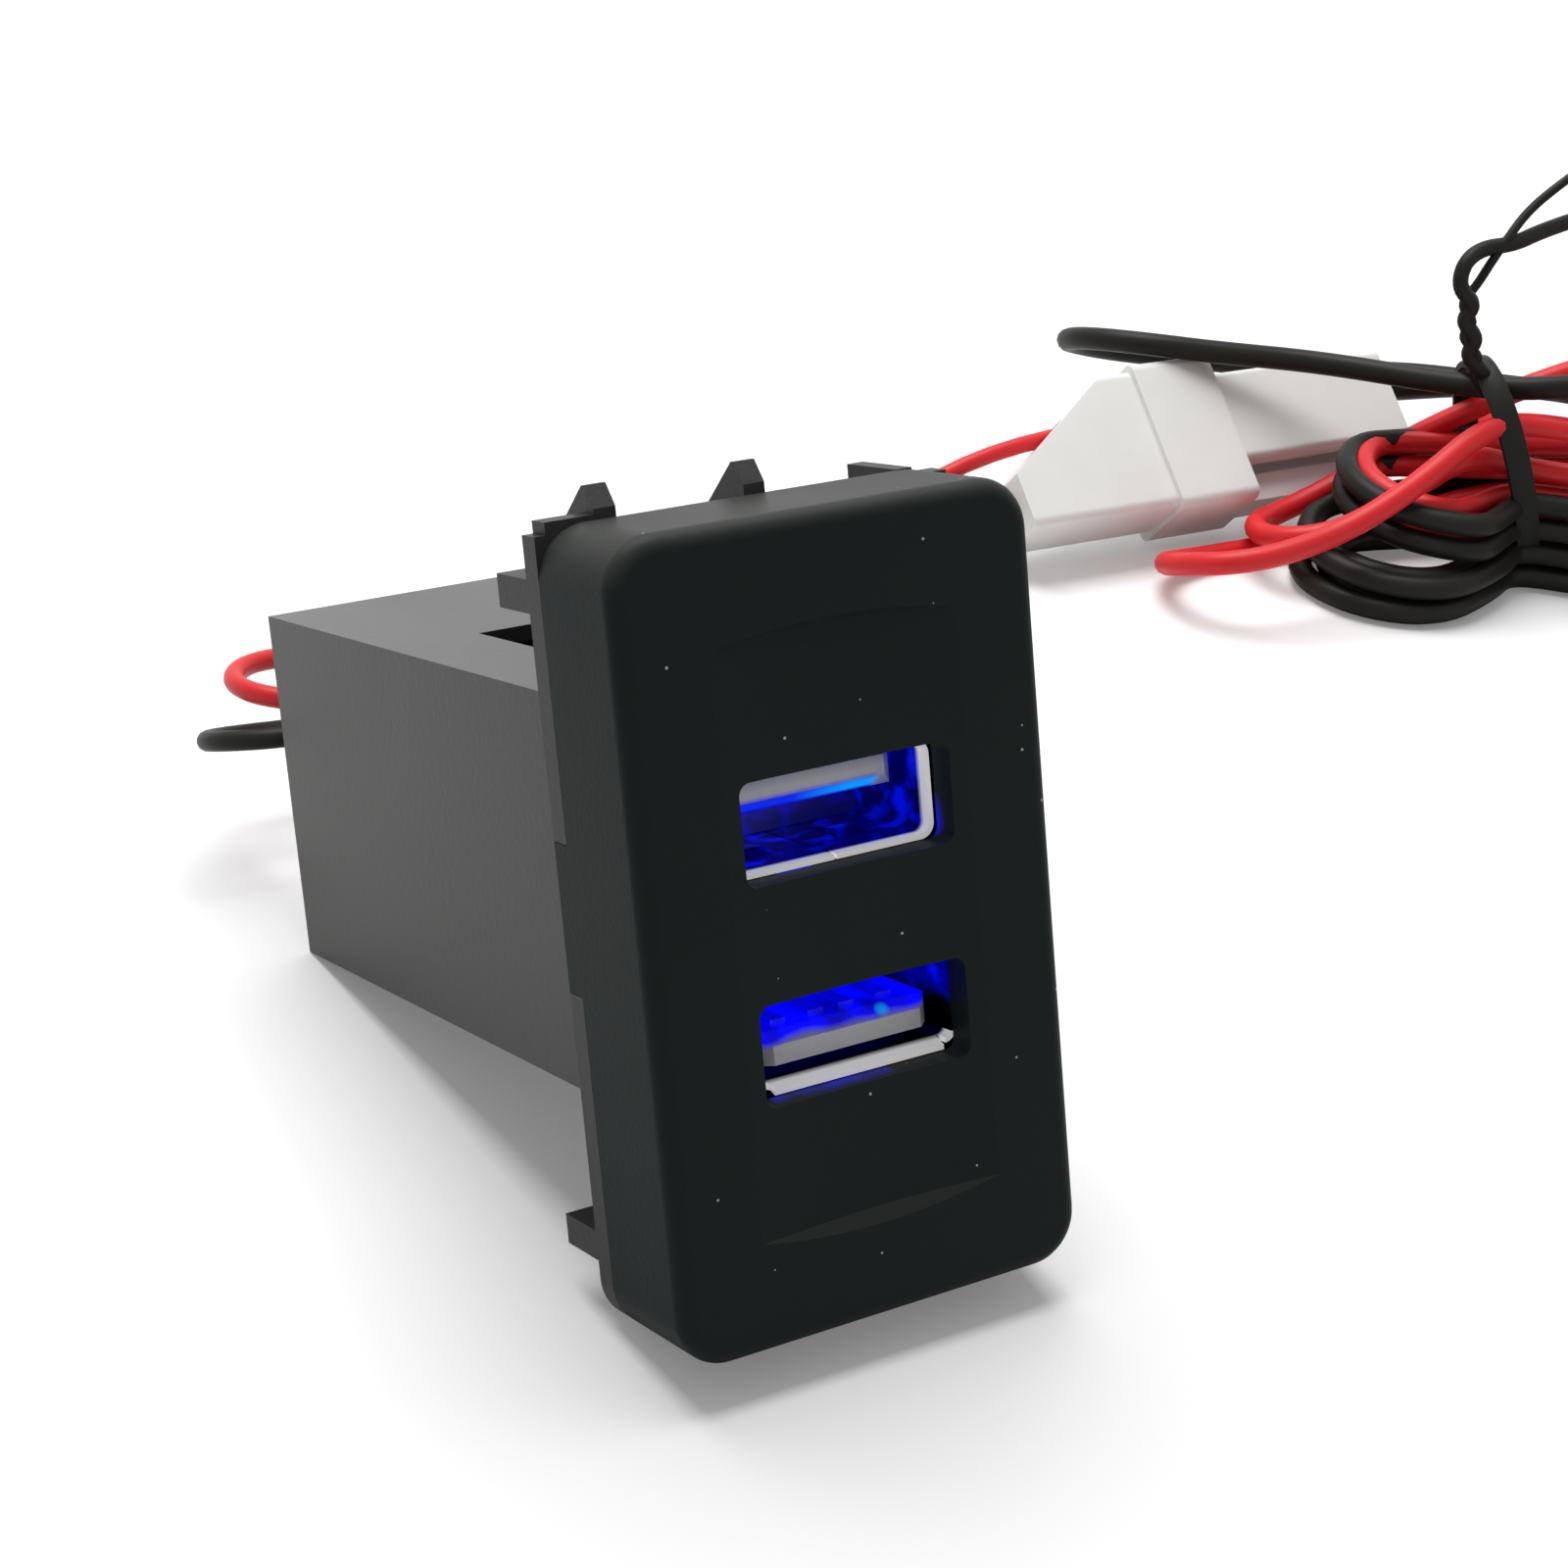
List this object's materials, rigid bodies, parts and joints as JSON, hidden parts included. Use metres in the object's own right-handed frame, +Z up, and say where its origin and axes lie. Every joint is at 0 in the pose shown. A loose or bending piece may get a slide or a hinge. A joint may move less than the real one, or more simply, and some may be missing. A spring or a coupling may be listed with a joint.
{
  "type": "car dual usb socket",
  "caption": "Upright panel socket with USB charging mouths in a snap-in bezel, a circuit housing behind it and a wired power lead folded into a tied hank.",
  "frame": {"origin": "Middle of the bezel's outline on the plane of the snap frame's rear face, where the socket seats behind the panel's edge", "axes": "+X across the panel to the right seen from the front, +Y back behind the panel, +Z up along the bezel"},
  "size_m": [0.1791, 0.1027, 0.0533],
  "materials": {
    "black_plastic": "fine matt grain",
    "frame_plastic": "satin moulded",
    "housing_plastic": "satin moulded",
    "plated_steel": "bright plated sheet",
    "tongue_plastic": "pale moulded",
    "contact_brass": "plated strip",
    "circuit_board": "solder mask",
    "light_chip": "clear resin",
    "ferrite": "dull ferrite",
    "capacitor_can": "satin can",
    "chip_plastic": "moulded",
    "red_wire": "soft vinyl",
    "black_wire": "soft vinyl",
    "white_nylon": "milky",
    "tie_plastic": "soft coated"
  },
  "bodies": {
    "root": {"bezel": "black_plastic", "snap_frame": "frame_plastic", "rear_housing": "housing_plastic", "usb_shell_upper": "plated_steel", "usb_shell_lower": "plated_steel", "usb_tongue_upper": "tongue_plastic", "usb_tongue_lower": "tongue_plastic", "usb_contacts_upper": "contact_brass", "usb_contacts_lower": "contact_brass", "front_board": "circuit_board", "main_board": "circuit_board", "light_chip_left": "light_chip", "light_chip_right": "light_chip", "inductor": "ferrite", "input_capacitor": "capacitor_can", "output_capacitor": "capacitor_can", "converter_chip": "chip_plastic", "diode": "chip_plastic", "lead_red": "red_wire", "lead_black": "black_wire", "connector_socket": "white_nylon", "connector_plug": "white_nylon", "connector_terminals": "contact_brass", "harness_hank": "black_wire", "harness_red": "red_wire", "harness_black": "black_wire", "harness_loop": "black_wire", "wire_tie": "tie_plastic"}
  },
  "joints": []
}
